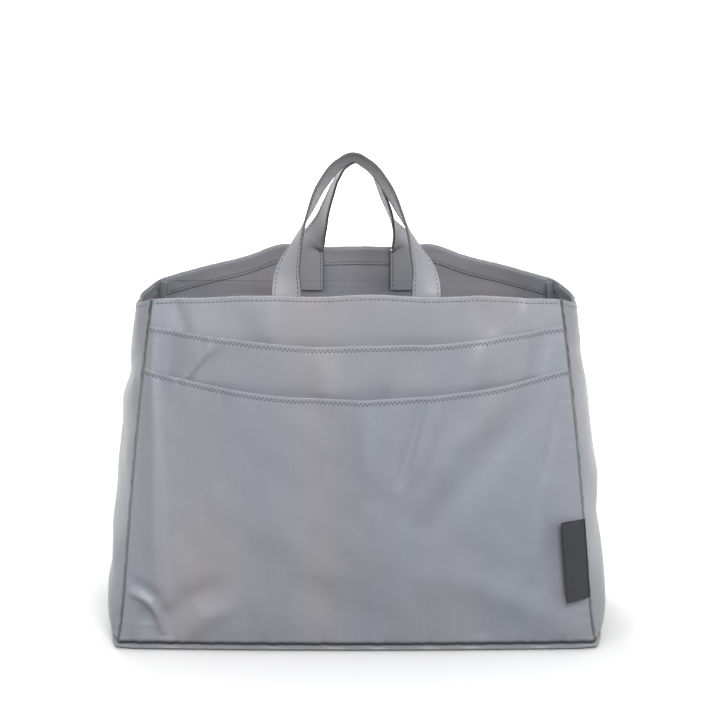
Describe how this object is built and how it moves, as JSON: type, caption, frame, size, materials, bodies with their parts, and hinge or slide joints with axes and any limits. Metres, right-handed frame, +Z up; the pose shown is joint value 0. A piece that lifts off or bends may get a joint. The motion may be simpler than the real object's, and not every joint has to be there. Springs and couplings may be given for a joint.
{
  "type": "bag organizer insert",
  "caption": "Soft tote-shaped fabric insert for organizing a bag: open top, stacked front pockets, strap handles and a folded side tab.",
  "frame": {"origin": "centre of the base's flat underside, between the four side seams", "axes": "+Z up, -Y out of the front with the pockets, +X to the right seen from the front"},
  "size_m": [0.3646, 0.1647, 0.353],
  "materials": {
    "nylon": "satin woven nylon",
    "strap": "satin woven strap, edge stitched",
    "lining": "matt woven",
    "tape": "matt twill tape",
    "elastic": "matt braided elastic",
    "board": "matt board",
    "label": "matt woven ribbon"
  },
  "bodies": {
    "bag": {"front_panel": "nylon", "back_panel": "nylon", "left_gusset": "nylon", "right_gusset": "nylon", "base_panel": "nylon", "base_board": "board", "base_lining": "lining", "base_seam_binding": "tape", "middle_pocket": "nylon", "middle_pocket_elastic": "elastic", "lower_pocket": "nylon", "lower_pocket_elastic": "elastic", "front_mouth_facing": "tape", "back_mouth_facing": "tape", "left_mouth_facing": "tape", "right_mouth_facing": "tape", "front_left_seam_binding": "tape", "front_right_seam_binding": "tape", "back_left_seam_binding": "tape", "back_right_seam_binding": "tape", "front_handle_left_end": "strap", "front_handle_right_end": "strap", "back_handle_left_end": "strap", "back_handle_right_end": "strap"},
    "front_handle": {"front_handle": "strap"},
    "back_handle": {"back_handle": "strap"},
    "label_tab": {"label_tab": "label"}
  },
  "joints": [
    {"name": "front_handle_fold", "type": "hinge", "parent": "bag", "child": "front_handle", "pos_m": [0, -0.05394, 0.25784], "axis": [1, 0, 0], "range_deg": [0, 140]},
    {"name": "back_handle_fold", "type": "hinge", "parent": "bag", "child": "back_handle", "pos_m": [0, 0.05345, 0.26983], "axis": [-1, 0, 0], "range_deg": [0, 140]},
    {"name": "label_tab_flap", "type": "hinge", "parent": "bag", "child": "label_tab", "pos_m": [0.16436, -0.07115, 0.0695], "axis": [-0.0849, 0.0929, 0.992], "range_deg": [-12, 110], "stiffness_Nm_per_rad": 0.0006}
  ]
}
